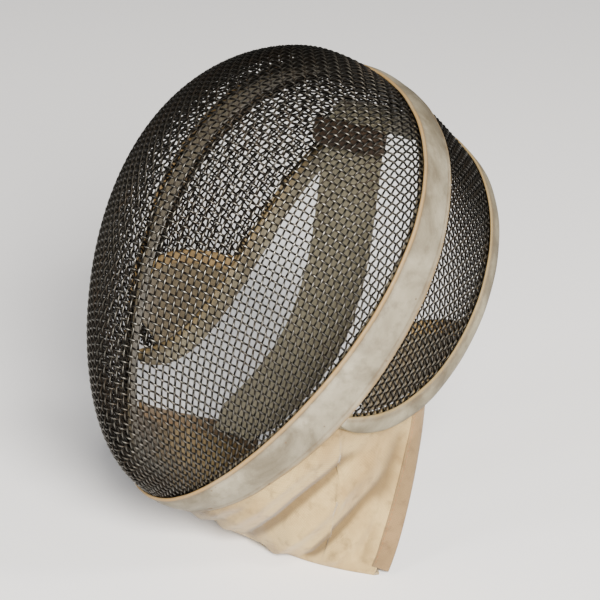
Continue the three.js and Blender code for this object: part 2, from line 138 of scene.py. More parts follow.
def ripple(t, seed, waves=6, lowest=2):
    """A smooth seeded wander between about -1 and 1: a sum of sines of rising count over t from 0 to 1."""
    rng = np.random.default_rng(seed)
    counts = lowest + np.arange(waves)
    phases = rng.uniform(0, 2 * np.pi, waves)
    weights = rng.uniform(0.4, 1, waves) / waves**0.5
    return (np.sin(2 * np.pi * counts * np.asarray(t)[..., None] + phases) * weights).sum(-1)


def spline(points, t):
    """A smooth curve through evenly counted points: uniform Catmull-Rom, t from 0 to 1, ends carried
    straight on."""
    p = np.asarray(points, float)
    p = np.vstack([2 * p[0] - p[1], p, 2 * p[-1] - p[-2]])
    s = np.clip(np.asarray(t, float), 0, 1) * (len(p) - 3)
    i = np.minimum(s.astype(int), len(p) - 4)
    f = (s - i)[..., None]
    a, b, c, d = p[i], p[i + 1], p[i + 2], p[i + 3]
    return 0.5 * (2 * b + (c - a) * f + (2 * a - 5 * b + 4 * c - d) * f**2 + (3 * b - a - 3 * c + d) * f**3)


# ---- from the mask's own frame to the table ----
pad_low, pad_high = (np.array(corner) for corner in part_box("crown_pad"))
SHIFT = 500 * (pad_low + pad_high)[1] - (PAD_PLACE[1] * np.cos(LEAN) + PAD_PLACE[2] * np.sin(LEAN))


def turn(v):
    """A direction of the mask, leaned back by LEAN about x."""
    x, back, up = np.moveaxis(v, -1, 0)
    return vec(x, back * np.cos(LEAN) + up * np.sin(LEAN), -back * np.sin(LEAN) + up * np.cos(LEAN))


def place(p):
    """A point of the mask, leaned back and stood at its height over the table."""
    return turn(p) + np.array([0, SHIFT, STAND_HEIGHT])


# ---- the forms that the pieces share ----
def half_width(angle):
    return HALF_WIDTH * (np.sin(angle) + EGG * np.sin(2 * angle))


def setback(angle):
    return np.sin(angle) ** 2 * (EDGE_SETBACK - EDGE_SWAY * np.cos(angle))


def edge(angle):
    """The front edge: an egg-shaped loop, angle 0 at the crown and half a turn at the chin."""
    return vec(half_width(angle), setback(angle), HALF_HEIGHT * np.cos(angle))


def band_frame(angle):
    """Directions at the front edge: across the band, which flares as it runs back, and out of its face."""
    rise = HALF_WIDTH * (np.cos(angle) + 2 * EGG * np.cos(2 * angle))
    out = unit(vec(HALF_HEIGHT * np.sin(angle), 0, rise))
    tilt = np.radians(9.2 - 7 * np.cos(2 * angle) + 7 * np.cos(3 * angle))[..., None]
    back = np.array([0, 1.0, 0])
    return out * np.sin(tilt) + back * np.cos(tilt), out * np.cos(tilt) - back * np.sin(tilt)


def band_point(angle, distance, height):
    """A point beside the front edge: distance back across the band, height out from the middle of the
    wire."""
    angle, distance, height = np.broadcast_arrays(np.asarray(angle, float), distance, height)
    across, normal = band_frame(angle)
    return edge(angle) + across * distance[..., None] + normal * height[..., None]


def rear_edge(part):
    """The rear edge of the sides: a Bezier curve on each half, mirrored in x. part is 0 at the crown, 1
    at the jaw."""
    t = np.abs(part)[..., None]
    rest = 1 - t
    weights = np.concatenate([rest**4, 4 * t * rest**3, 6 * t**2 * rest**2, 4 * t**3 * rest, t**4], -1)
    point = weights @ REAR_EDGE
    point[..., 0] *= np.where(np.asarray(part) < 0, -1, 1)
    return point


def wing_width(part):
    return np.linalg.norm(rear_edge(part) - band_point(part * WING_END, WING_START, 0), axis=-1)


def wing_point(part, share):
    """The side wire's middle: a parabola from under the band, leaving along it, to the rear edge."""
    part, share = np.broadcast_arrays(np.asarray(part, float), np.asarray(share, float))
    start = band_point(part * WING_END, WING_START, 0)
    rear = rear_edge(part)
    across, _ = band_frame(part * WING_END)
    lead = start + across * (WING_LEAD * wing_width(part))[..., None]
    s = share[..., None]
    return mix(mix(start, lead, s), mix(lead, rear, s), s)


def wing_place(part, in_front, height):
    """A point beside the side wire: in_front of its rear edge and height outside its middle, from its
    slopes."""
    part, in_front, height = np.broadcast_arrays(np.asarray(part, float), np.asarray(in_front, float), height)
    share = 1 - in_front / wing_width(part)
    at = np.minimum(share, 1)
    step = 1e-3
    across = unit(wing_point(part, at + step) - wing_point(part, at - step))
    tangent = wing_point(part + step, at) - wing_point(part - step, at)
    normal = unit(np.cross(tangent, across))
    _, outward = band_frame(part * WING_END)
    normal = normal * np.where((normal * outward).sum(-1) < 0, -1, 1)[..., None]
    beyond = np.where(share > 1, -in_front, 0)[..., None]
    return wing_point(part, at) + across * beyond + normal * height[..., None], across


# ---- meshes ----
def finished(name, points, faces, material, replaces=(), uv=None, values=None):
    """A piece from points in mm on the table's frame and faces given as index arrays, riding on the mask."""
    mesh = bpy.data.meshes.new(name)
    mesh.from_pydata((points.reshape(-1, 3) * 1e-3).tolist(), [],
                     [f for group in faces for f in group.tolist()])
    mesh.polygons.foreach_set("use_smooth", np.full(len(mesh.polygons), True))
    if uv is not None:
        corner = np.empty(len(mesh.loops), np.int32)
        mesh.loops.foreach_get("vertex_index", corner)
        mesh.uv_layers.new(name="cloth").data.foreach_set("uv", (uv.reshape(-1, 2)[corner] * 1e-3).ravel())
    for key, value in (values or {}).items():
        attribute = mesh.attributes.new(key, "FLOAT", "POINT")
        attribute.data.foreach_set("value", np.ascontiguousarray(value, np.float32).ravel())
    mesh.materials.append(material)
    mesh.update()
    piece = bpy.data.objects.new(name, mesh)
    bpy.context.scene.collection.objects.link(piece)
    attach(piece, "root")
    if replaces:
        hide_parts(*replaces)
    return piece


def quads(rows, columns, ring_rows=False, ring_columns=False, start=0):
    """Faces of a grid of points, row by row, closed on itself where it is a ring."""
    i = np.arange(rows if ring_rows else rows - 1)[:, None]
    j = np.arange(columns if ring_columns else columns - 1)[None, :]
    i2, j2 = (i + 1) % rows, (j + 1) % columns
    corners = (i * columns + j, i * columns + j2, i2 * columns + j2, i2 * columns + j)
    face = np.stack(np.broadcast_arrays(*corners), -1)
    return face.reshape(-1, 4) + start


def grid_normals(grid):
    """Out of a grid of points: across its columns times down its rows."""
    return unit(np.cross(np.gradient(grid, axis=1), np.gradient(grid, axis=0)))


def outward_faces(points, faces):
    """Turns every face over if the closed form they make has a negative volume."""
    p = points.reshape(-1, 3)
    volume = sum(
        (p[f[:, 0]] * np.cross(p[f[:, k]], p[f[:, k + 1]])).sum()
        for f in faces
        for k in range(1, f.shape[1] - 1)
    )
    return [f[:, ::-1] for f in faces] if volume < 0 else faces


def cloth_wall(grid, thickness, normals=None):
    """A wall of even thickness about a grid: both faces half the thickness out, joined round the rim."""
    rows, columns = grid.shape[:2]
    normals = grid_normals(grid) if normals is None else normals
    points = np.stack([grid + normals * thickness / 2, grid - normals * thickness / 2])
    n = rows * columns
    index = np.arange(n).reshape(rows, columns)
    rim = np.concatenate([index[0, :-1], index[:-1, -1], index[-1, :0:-1], index[:0:-1, 0]])
    after = np.roll(rim, -1)
    front, back = quads(rows, columns), quads(rows, columns, start=n)[:, ::-1]
    faces = [front, back, np.stack([after, rim, rim + n, after + n], -1)]
    return points.reshape(-1, 3), outward_faces(points, faces)


def carried(sections, ring=False):
    """A closed outline carried along a path: sections is path by outline. Open ends are filled."""
    steps_along, n = sections.shape[:2]
    faces = [quads(steps_along, n, ring_rows=ring, ring_columns=True)]
    if not ring:
        ends = np.arange(n)[None, :]
        faces += [ends[:, ::-1], ends + (steps_along - 1) * n]
    return sections.reshape(-1, 3), outward_faces(sections, faces)


# ---- woven wire ----
MASK_MIDDLE = np.array([0, 60, 0])  # a point inside the mask, which tells out from in


def wires(surface, inside, lines, reach, line_pitch, pitch, over, lengthwise):
    """One family of a plain weave. A wire follows the surface at line * line_pitch, its points run from
    -reach to reach at pitch / CROSSING_STEPS, and it rises and dips by its radius as a cosine of half
    its pitch count, so that it goes over one crossing wire and under the next. Round it stands a ring
    of WIRE_SIDES points."""
    count = int(reach / pitch) * CROSSING_STEPS
    along = np.arange(-count, count + 1) / CROSSING_STEPS
    line, along = np.meshgrid(lines, along, indexing="ij")
    here, there = line * line_pitch, along * pitch
    a, w = (there, here) if lengthwise else (here, there)
    step = 0.05
    centre = surface(a, w)
    normal = unit(np.cross(surface(a + step, w) - surface(a - step, w),
                           surface(a, w + step) - surface(a, w - step)))
    outward = centre - MASK_MIDDLE
    normal *= np.where((normal * outward).sum(-1) < 0, -1, 1)[..., None]
    wave = over * np.cos(np.pi * along) * np.where(line.astype(int) % 2, -1, 1)
    centre = centre + normal * (WIRE_RADIUS * wave)[..., None]
    tangent = unit(np.gradient(centre, axis=1))
    side = unit(np.cross(normal, tangent))
    lift = np.cross(tangent, side)
    turn_by = 2 * np.pi * np.arange(WIRE_SIDES) / WIRE_SIDES
    ring = np.cos(turn_by)[:, None] * lift[..., None, :] + np.sin(turn_by)[:, None] * side[..., None, :]
    points = centre[..., None, :] + WIRE_RADIUS * ring
    wear = smooth(0.5 + 0.5 * wave)[..., None] * smooth(0.4 + 0.6 * np.cos(turn_by))

    solid = inside(a, w)
    number = np.arange(solid.size).reshape(solid.shape)
    joined = solid[:, :-1] & solid[:, 1:]
    k = np.arange(WIRE_SIDES)
    first, second = number[:, :-1][joined][:, None] * WIRE_SIDES, number[:, 1:][joined][:, None] * WIRE_SIDES
    walls = np.stack([first + k, first + (k + 1) % WIRE_SIDES, second + (k + 1) % WIRE_SIDES, second + k], -1)
    before = np.pad(joined, ((0, 0), (1, 0)))
    after = np.pad(joined, ((0, 0), (0, 1)))
    starts = number[after & ~before][:, None] * WIRE_SIDES + k[::-1]
    stops = number[before & ~after][:, None] * WIRE_SIDES + k
    faces = [walls.reshape(-1, 4), starts, stops]
    used = np.unique(np.concatenate([f.ravel() for f in faces]))
    slot_of = np.zeros(points.shape[0] * points.shape[1] * WIRE_SIDES, int)
    slot_of[used] = np.arange(len(used))
    faces = [slot_of[f] for f in faces]
    points = place(points.reshape(-1, 3)[used])
    return points, outward_faces(points, faces), wear.reshape(-1)[used]


def bowl_at(level, side):
    """The bowl at a level from -1 at the chin to 1 at the crown, and side from 0 at the keel to 1 at
    the edge: part half-ellipse, part keel, deepest a little below the middle."""
    around = np.arccos(np.clip(level, -1, 1))
    curve = np.sqrt(np.maximum(1 - side**2, 0))
    keel = 1 - (np.hypot(side, KEEL_ROUND) - KEEL_ROUND) / (np.hypot(1, KEEL_ROUND) - KEEL_ROUND)
    shape = 1 - BOWL_CHIN * level - BOWL_WAIST * np.cos(2 * around)
    depth = BOWL_DEPTH * np.sin(around) ** BOWL_FULLNESS * shape
    rise = depth * ((1 - KEEL_SHARE) * curve + KEEL_SHARE * keel)
    lift = BOWL_LIFT * curve * np.sin(around)
    return vec(side * half_width(around), setback(around) - rise, level * HALF_HEIGHT + lift)


# Tables that turn lengths along the wire into places on the bowl: level by length down the keel, and side by
# length out.
POLE_GAP = 0.012  # radians left out at the chin and at the crown, where the lines would meet
LEVELS = -np.cos(np.linspace(POLE_GAP, np.pi - POLE_GAP, 321))
SIDES = np.sin(np.linspace(0, np.pi / 2, 161))
bowl_net = bowl_at(LEVELS[:, None], SIDES[None, :])
keel_length = np.concatenate([[0], np.linalg.norm(np.diff(bowl_net[:, 0], axis=0), axis=-1).cumsum()])
keel_length -= keel_length[-1] / 2
outward_length = np.linalg.norm(np.diff(bowl_net, axis=1), axis=-1).cumsum(axis=1)
outward_length = np.pad(outward_length, ((0, 0), (1, 0)))
bowl_reach = outward_length[:, -1]
LENGTHS = np.arange(0, bowl_reach.max() + 2, 1.0)
side_table = np.stack([np.interp(LENGTHS, row, SIDES) for row in outward_length])


def bowl_surface(a, w):
    """The bowl at length a out from the keel and w up along it, carried on under the band past its edge."""
    row = np.interp(w, keel_length, np.arange(len(LEVELS)))
    level = np.interp(row, np.arange(len(LEVELS)), LEVELS)
    reach = np.interp(row, np.arange(len(LEVELS)), bowl_reach)
    out = np.minimum(np.abs(a), reach)
    i = np.minimum(row.astype(int), len(LEVELS) - 2)
    j = np.minimum(out.astype(int), len(LENGTHS) - 2)
    f, g = row - i, out - j
    below = mix(side_table[i, j], side_table[i, j + 1], g)
    above = mix(side_table[i + 1, j], side_table[i + 1, j + 1], g)
    side = np.where(out >= reach, 1, mix(below, above, f))
    point = bowl_at(level, side)
    skirt = band_point(np.arccos(level), np.maximum(np.abs(a) - reach, 0), 0)
    point = np.where((np.abs(a) > reach)[..., None], skirt, point)
    point[..., 0] *= np.where(a < 0, -1, 1)
    return point


def bowl_inside(a, w):
    reach = np.interp(w, keel_length, bowl_reach)
    return (np.abs(a) < reach + 5) & (np.abs(w) < keel_length[-1])


PARTS = np.linspace(-1, 1, 401)
arch = wing_point(PARTS, np.full_like(PARTS, 0.5))
arch_length = np.concatenate([[0], np.linalg.norm(np.diff(arch, axis=0), axis=-1).cumsum()])
arch_length -= arch_length[-1] / 2


def wing_surface(a, w):
    """The side wire at length a round the arch from the crown and w back from under the band."""
    part = np.interp(a, arch_length, PARTS)
    return wing_point(part, w / wing_width(part))


def wing_inside(a, w):
    part = np.interp(a, arch_length, PARTS)
    return (np.abs(part) < MESH_END) & (w > 0) & (w < wing_width(part) - REAR_GAP)


# ---- materials ----
def linear(text):
    """An sRGB hex colour as linear red, green, blue and alpha."""
    c = np.array([int(text[k : k + 2], 16) for k in (1, 3, 5)]) / 255
    return (*np.where(c <= 0.04045, c / 12.92, ((c + 0.055) / 1.055) ** 2.4), 1.0)


def add(tree, kind, inputs=(), **settings):
    """A node with its settings. Each input is a value, or an output that is linked to it."""
    node = tree.nodes.new(kind)
    for key, value in settings.items():
        setattr(node, key, value)
    for key, value in dict(inputs).items():
        if isinstance(value, bpy.types.NodeSocket):
            tree.links.new(value, node.inputs[key])
        else:
            node.inputs[key].default_value = value
    return node


def new_material(name, **constants):
    """A material with one Principled shader, and the values that are the same all over it."""
    material = bpy.data.materials.new(name)
    material.use_nodes = True
    tree = material.node_tree
    shader = tree.nodes["Principled BSDF"]
    for key, value in constants.items():
        shader.inputs[key.replace("_", " ")].default_value = value
    return material, tree, shader


def noise(tree, coordinates, millimetres, detail=3.0, roughness=0.5, distortion=0.0):
    """Noise whose patches are about that many millimetres across, as one value from 0 to 1."""
    inputs = {"Vector": coordinates, "Scale": 1000 / millimetres, "Detail": detail, "Roughness": roughness,
              "Distortion": distortion}
    return add(tree, "ShaderNodeTexNoise", inputs).outputs["Fac"]


def between(tree, value, low, high, to_low=0.0, to_high=1.0):
    """A value spread from low..high to to_low..to_high, and held there outside."""
    inputs = {"Value": value, "From Min": low, "From Max": high, "To Min": to_low, "To Max": to_high}
    return add(tree, "ShaderNodeMapRange", inputs).outputs["Result"]


def blend(tree, factor, under, over, mode="MIX"):
    """One colour laid over another by a factor."""
    mixer = add(tree, "ShaderNodeMix", {0: factor}, data_type="RGBA", blend_type=mode)
    for socket, colour in ((mixer.inputs[6], under), (mixer.inputs[7], over)):
        if isinstance(colour, bpy.types.NodeSocket):
            tree.links.new(colour, socket)
        else:
            socket.default_value = colour
    return mixer.outputs[2]


def times(tree, a, b, operation="MULTIPLY"):
    return add(tree, "ShaderNodeMath", {0: a, 1: b}, operation=operation).outputs[0]


def bumped(tree, shader, height, millimetres):
    """Relief of that height, passed on to the shader's normal."""
    bump = add(tree, "ShaderNodeBump", {"Height": height, "Strength": 1.0, "Distance": millimetres * 1e-3})
    tree.links.new(bump.outputs["Normal"], shader.inputs["Normal"])


def marks(tree, places):
    """Small dark marks: 1 within each radius of its point, falling to 0. places are (x, y, z, radius)
    in metres."""
    coordinates = add(tree, "ShaderNodeTexCoord").outputs["Object"]
    wander = add(tree, "ShaderNodeTexNoise", {"Vector": coordinates, "Scale": 420.0,
                                              "Detail": 2.0}).outputs["Fac"]
    total = None
    for x, y, z, radius in places:
        away = add(tree, "ShaderNodeVectorMath", {0: coordinates, 1: (x, y, z)},
                   operation="DISTANCE").outputs["Value"]
        ragged = times(tree, away, times(tree, wander, 1.3, "ADD"))
        spot = between(tree, ragged, radius * 1.2, radius * 2.0, 1.0, 0.0)
        total = spot if total is None else times(tree, total, spot, "MAXIMUM")
    return total


def steel_wire():
    """Drawn steel wire, tinned once and now dull: near-black in the hollows, grey and smoother where
    the crowns are rubbed, so that they glint, with a brown bloom of rust in patches."""
    material, tree, shader = new_material("drawn_steel_wire", Metallic=1.0)
    coordinates = add(tree, "ShaderNodeTexCoord").outputs["Object"]
    wear = add(tree, "ShaderNodeAttribute", attribute_name="wear").outputs["Fac"]
    patches = noise(tree, coordinates, 38, 4.0, 0.6)
    fine = noise(tree, coordinates, 2.2, 2.0)
    rubbed = times(tree, between(tree, wear, 0.62, 1.0), between(tree, fine, 0.3, 0.7, 0.5, 1.0))
    colour = blend(tree, rubbed, linear("#1e1c19"), linear("#72706a"))
    colour = blend(tree, between(tree, patches, 0.5, 0.75, 0.0, 0.5), colour, linear("#2c2218"))
    tree.links.new(colour, shader.inputs["Base Color"])
    tree.links.new(between(tree, rubbed, 0.0, 1.0, 0.5, 0.26), shader.inputs["Roughness"])
    bumped(tree, shader, fine, 0.05)
    return material


def kid_leather(name, base, stain, rim, dark_places=()):
    """Pale alum leather, glued and stitched: fine pores, dark handling stains in clouds, yellow along
    its folded edges, dirt in the stitched groove and a few small scuffs."""
    material, tree, shader = new_material(name, IOR=1.45, Specular_IOR_Level=0.4)
    coordinates = add(tree, "ShaderNodeTexCoord").outputs["Object"]
    cloud = noise(tree, coordinates, 45, 5.0, 0.6, 0.6)
    small = noise(tree, coordinates, 9, 5.0, 0.65)
    pores = noise(tree, coordinates, 0.9, 2.0)
    rim_value = add(tree, "ShaderNodeAttribute", attribute_name="rim").outputs["Fac"]
    colour = blend(tree, between(tree, cloud, 0.38, 0.66, 0.0, 0.9), linear(base), linear(stain))
    colour = blend(tree, between(tree, small, 0.5, 0.72, 0.0, 0.5), colour, linear(stain))
    ragged = times(tree, rim_value, between(tree, small, 0.3, 0.6, 0.55, 1.0))
    colour = blend(tree, ragged, colour, linear(rim))
    groove = add(tree, "ShaderNodeAttribute", attribute_name="groove").outputs["Fac"]
    colour = blend(tree, times(tree, groove, between(tree, small, 0.35, 0.6, 0.35, 0.9)), colour,
                   linear("#493a26"))
    if dark_places:
        colour = blend(tree, times(tree, marks(tree, dark_places), 0.85), colour, linear("#4a3826"))
    tree.links.new(colour, shader.inputs["Base Color"])
    tree.links.new(between(tree, small, 0.3, 0.7, 0.5, 0.72), shader.inputs["Roughness"])
    relief = times(tree, times(tree, pores, 0.25), times(tree, small, 0.9), "ADD")
    bumped(tree, shader, relief, 0.45)
    return material


def woven_cloth(name, base, pale, stain, thread, relief, sheen=0.15, rough=0.9):
    """Plain-woven cotton: threads over and under on the piece's own cloth map, matt with a slight
    bloom, stains in patches, painted shade in the valleys of the folds, and a near-black painted shadow under
    the chin and along the sewn edge."""
    material, tree, shader = new_material(name, Roughness=rough, Sheen_Weight=sheen, Sheen_Roughness=0.5)
    coordinates = add(tree, "ShaderNodeTexCoord").outputs["Object"]
    cloth = add(tree, "ShaderNodeUVMap", uv_map="cloth").outputs["UV"]
    x, y, _ = add(tree, "ShaderNodeSeparateXYZ", {0: cloth}).outputs
    turns = np.pi / (thread * 1e-3)
    warp = add(tree, "ShaderNodeMath", {0: times(tree, x, turns)}, operation="SINE").outputs[0]
    weft = add(tree, "ShaderNodeMath", {0: times(tree, y, turns)}, operation="SINE").outputs[0]
    threads = between(tree, times(tree, warp, weft), -1, 1)
    cloud = noise(tree, coordinates, 40, 5.0, 0.6, 0.5)
    small = noise(tree, coordinates, 7, 4.0, 0.6)
    slub = noise(tree, coordinates, 1.6, 3.0)
    colour = blend(tree, between(tree, cloud, 0.38, 0.62), linear(base), linear(pale))
    colour = blend(tree, between(tree, small, 0.52, 0.78, 0.0, 0.6), colour, linear(stain))
    colour = blend(tree, between(tree, threads, 0.0, 1.0, 0.18, 0.0), colour, linear(stain))
    # Painted shade: the valleys of the folds are darkened with the stain colour.
    painted_fold_shade = add(tree, "ShaderNodeAttribute", attribute_name="painted_fold_shade").outputs["Fac"]
    colour = blend(tree, times(tree, painted_fold_shade, 0.85), colour, linear(stain))
    # Painted shadow: near-black under the chin and along the sewn edge, where the bib sits under the band.
    painted_shadow = add(tree, "ShaderNodeAttribute", attribute_name="painted_shadow").outputs["Fac"]
    ragged = times(tree, painted_shadow, between(tree, small, 0.3, 0.6, 0.7, 1.0))
    colour = blend(tree, ragged, colour, linear("#2a1e0f"))
    tree.links.new(colour, shader.inputs["Base Color"])
    height = times(tree, times(tree, threads, 0.5), times(tree, slub, 0.6), "ADD")
    bumped(tree, shader, height, relief)
    return material


def brown_leather(name, base, rubbed):
    """Chrome-tanned brown leather, dry and rubbed paler in patches, with a visible grain."""
    material, tree, shader = new_material(name, IOR=1.45)
    coordinates = add(tree, "ShaderNodeTexCoord").outputs["Object"]
    small = noise(tree, coordinates, 8, 5.0, 0.6)
    cells = add(tree, "ShaderNodeTexVoronoi", {"Vector": coordinates, "Scale": 900.0}).outputs["Distance"]
    colour = blend(tree, between(tree, small, 0.35, 0.7), linear(base), linear(rubbed))
    tree.links.new(colour, shader.inputs["Base Color"])
    tree.links.new(between(tree, small, 0.3, 0.7, 0.45, 0.75), shader.inputs["Roughness"])
    bumped(tree, shader, cells, 0.25)
    return material


def band_mark(angle_degrees, distance, radius):
    """A mark on the band's face, as (x, y, z, radius) in metres."""
    point = place(band_point(np.radians(angle_degrees), distance, BAND_FACE)) * 1e-3
    return (*point.tolist(), radius * 1e-3)


band_marks = [
    band_mark(70, 14, 0.9), band_mark(82, 22, 0.7), band_mark(106, 12, 0.6), band_mark(117, 20, 0.7),
    band_mark(126, 9, 0.9), band_mark(160, 24, 1.7), band_mark(163, 26.5, 1.4), band_mark(168, 27.5, 1.2),
    band_mark(138, 27, 1.0), band_mark(150, 4.5, 0.8), band_mark(152, 5.5, 0.7), band_mark(97, 26, 0.8),
]
wire_steel = steel_wire()
white_leather = kid_leather("alum_leather_band", "#777161", "#433b2c", "#735c38", band_marks)
trim_leather = kid_leather("alum_leather_trim", "#756f5d", "#433b2c", "#685737")
bib_canvas = woven_cloth("cotton_canvas", "#846c42", "#9d8759", "#4c391b", 0.9, 0.3)
hem_canvas = woven_cloth("folded_canvas_hem", "#5f4c2e", "#70593a", "#3f2c15", 0.9, 0.3)
lining_cloth = woven_cloth("lining_drill", "#473d2a", "#524731", "#342b1b", 1.2, 0.3)
tongue_cloth = woven_cloth("tongue_cover_drill", "#5f5a48", "#6b6552", "#4b4535", 1.2, 0.3)
tape_cloth = woven_cloth("joint_tape_cotton", "#3f3829", "#4a4231", "#2f2a1d", 1.2, 0.3)
pad_leather = brown_leather("brown_pad_leather", "#22170e", "#3a2a19")
binding_leather = brown_leather("brown_binding_leather", "#5d4a2c", "#7b6540")
sewing_thread = woven_cloth("linen_thread", "#6b4723", "#7f5a30", "#4d3216", 0.4, 0.1)

# ---- wire: front and sides ----
across_lines = np.arange(int(-keel_length[-1] / ACROSS_PITCH), int(keel_length[-1] / ACROSS_PITCH) + 1)
down_lines = np.arange(int(-bowl_reach.max() / DOWN_PITCH) - 1, int(bowl_reach.max() / DOWN_PITCH) + 2)
for name, lines, reach, line_pitch, pitch, over, lengthwise, replaced in (
    ("front_wires_across", across_lines, bowl_reach.max() + 8, ACROSS_PITCH, DOWN_PITCH, 1, True,
     ("front_mesh",)),
    ("front_wires_down", down_lines, keel_length[-1], DOWN_PITCH, ACROSS_PITCH, -1, False, ()),
):
    points, faces, wear = wires(bowl_surface, bowl_inside, lines, reach, line_pitch, pitch, over, lengthwise)
    finished(name, points, faces, wire_steel, replaced, values={"wear": wear})

widest = wing_width(PARTS).max()
round_lines = np.arange(0, int(widest / WING_PITCH) + 1)
back_lines = np.arange(int(-arch_length[-1] / WING_PITCH), int(arch_length[-1] / WING_PITCH) + 1)
for name, lines, reach, over, lengthwise, replaced in (
    ("side_wires_round", round_lines, arch_length[-1], 1, True, ("side_mesh",)),
    ("side_wires_back", back_lines, widest, -1, False, ()),
):
    points, faces, wear = wires(wing_surface, wing_inside, lines, reach, WING_PITCH, WING_PITCH, over,
                                lengthwise)
    finished(name, points, faces, wire_steel, replaced, values={"wear": wear})


# ---- leather band over the joint ----
def front_band():
    """An outline of distance and height carried round the front edge: a rolled rim against the wire, a
    stitched groove, a face that swells along its middle, and a rear edge that wanders a little."""
    turns = np.arange(BAND_RINGS) / BAND_RINGS
    outline = np.array([
        (0.9, 1.4), (0.2, 1.9), (0.3, 2.8), (1.2, 3.4), (2.2, 3.3), (3.0, 2.75), (3.8, 2.8), (5.5, 3.35),
        (8.5, 4.0), (12, 4.35), (16, 4.3), (20, 3.95), (23.5, 3.5), (25, 3.1), (26, 3.25), (28.2, 3.0),
        (29, 2.4), (28.9, 1.4),
    ])
    angle = 2 * np.pi * turns[:, None]
    distance, height = outline[None, :, 0], outline[None, :, 1]
    rear = smooth((distance - 18) / 10)
    distance = distance + rear * 0.6 * ripple(turns, 3, 14, 3)[:, None]
    swell = np.sin(np.pi * np.clip(distance / BAND_WIDTH, 0, 1))
    height = height + 0.35 * swell * ripple(turns, 5, 18, 4)[:, None]
    height = height + 0.12 * ripple(turns, 8, 30, 20)[:, None]
    points, faces = carried(place(band_point(angle, distance, height)), ring=True)
    rim = np.maximum(1 - smooth((outline[:, 0] - 2.0) / 1.5), 0.8 * smooth((outline[:, 0] - 26.5) / 2))
    groove = np.exp(-(((outline[:, 0] - 3.2) / 0.6) ** 2))
    groove = groove + 0.8 * np.exp(-(((outline[:, 0] - 25.2) / 0.7) ** 2))
    values = {"rim": np.tile(rim, (BAND_RINGS, 1)), "groove": np.tile(groove, (BAND_RINGS, 1))}
    return finished("leather_band", points, faces, white_leather, ("front_band",),
                    values=values)


front_band()


# ---- rear trim ----
def trim_ends(distance):
    """For each line of the trim, the part where it comes within TRIM_END of the band's front edge, by
    bisection."""
    low, high = np.full(len(distance), 0.7), np.full(len(distance), 1.06)
    for _ in range(30):
        middle = (low + high) / 2
        reach = np.linalg.norm(rear_edge(middle) - edge(middle * WING_END), axis=-1) - distance
        low, high = np.where(reach > TRIM_END, middle, low), np.where(reach > TRIM_END, high, middle)
    return low


def rear_trim():
    """A channel of distance in front of the rear edge and height, carried from jaw to jaw over the crown."""
    outline = np.array([
        (14, 1.4), (14.2, 2.2), (13.2, 2.9), (12, 2.7), (11, 2.75), (9, 3.3), (6, 3.5), (3, 3.35), (1.2, 2.7),
        (0.2, 1.4), (0, 0), (0.2, -1.4), (1.2, -2.7), (3, -3.2), (9, -3.2), (13.4, -2.9), (14, -1.5),
        (1.6, -1.5),
        (1.6, 1.4),
    ])
    turns = np.linspace(0, 1, TRIM_RINGS)
    part = mix(-1, 1, turns)[:, None] * trim_ends(outline[:, 0])[None, :]
    distance = outline[None, :, 0] * (1 + 0.02 * ripple(turns, 11, 12, 3)[:, None])
    height = outline[None, :, 1] * (1 + 0.05 * ripple(turns, 12, 16, 6)[:, None])
    points, _ = wing_place(part, distance, height)
    points, faces = carried(place(points))
    rim = np.maximum(smooth((outline[:, 0] - 12) / 1.5), 0.5 * smooth((1.5 - outline[:, 0]) / 1.5))
    groove = np.exp(-(((outline[:, 0] - 11.4) / 0.7) ** 2))
    values = {"rim": np.tile(rim, (TRIM_RINGS, 1)), "groove": np.tile(groove, (TRIM_RINGS, 1))}
    return finished("leather_rear_trim", points, faces, trim_leather, ("rear_trim",),
                    values=values)


rear_trim()


# ---- joint tape ----
def joint_tape():
    """A flat outline carried round inside the joint of front and sides."""
    outline = np.array([(1, -1.6), (1.2, -2.5), (4, -2.75), (13, -2.75), (15.8, -2.5), (16, -1.6)])
    turns = np.arange(TAPE_RINGS) / TAPE_RINGS
    angle = 2 * np.pi * turns[:, None]
    points, faces = carried(place(band_point(angle, outline[None, :, 0], outline[None, :, 1])), ring=True)
    uv = vec(outline[None, :, 0], turns[:, None] * TAPE_LENGTH, 0)[..., :2]
    return finished("cotton_joint_tape", points, faces, tape_cloth, ("joint_tape",), uv=uv)


joint_tape()


# ---- corner linings and their bindings ----
def lining_grid(side, share, down, wander):
    """The lining inside a wing's lower corner: down from its slanting top edge to its end, share back
    from the band."""
    top = mix(*LINING_TOP, share)
    part = mix(top, LINING_END, down)
    in_front = mix(wing_width(part) - 3, TRIM_WIDTH + 0.8, share)
    points, _ = wing_place(part, in_front, LINING_LEVEL - 0.25 * wander)
    points[..., 0] *= side
    return place(points)


for hand, side in (("left", 1), ("right", -1)):
    share, down = np.meshgrid(np.linspace(0, 1, 41), np.linspace(0.02, 1, 41), indexing="ij")
    wander = ripple(share * 0.6 + down * 0.4, 21, 6, 2) * np.sin(np.pi * down)
    points, faces = cloth_wall(lining_grid(side, share, down, wander), 1.2)
    uv = np.tile(np.stack([share * 55, down * 60], -1).reshape(-1, 2), (2, 1))
    name, replaced = f"canvas_corner_lining_{hand}", (f"corner_lining_{hand}",)
    finished(name, points, faces, lining_cloth, replaced, uv=uv)

    share, row = np.meshgrid(np.linspace(0, 1, 61), np.linspace(-1, 1, 9), indexing="ij")
    top = mix(*LINING_TOP, share) + 0.016 * row
    in_front = mix(wing_width(top) - 3, TRIM_WIDTH + 0.8, share)
    crown = 0.5 * (1 - row**2)
    points, _ = wing_place(top, in_front, LINING_LEVEL - crown + 0.2)
    points[..., 0] *= side
    points, faces = cloth_wall(place(points), 1.7)
    finished(f"leather_binding_{hand}", points, faces, binding_leather, (f"lining_binding_{hand}",))


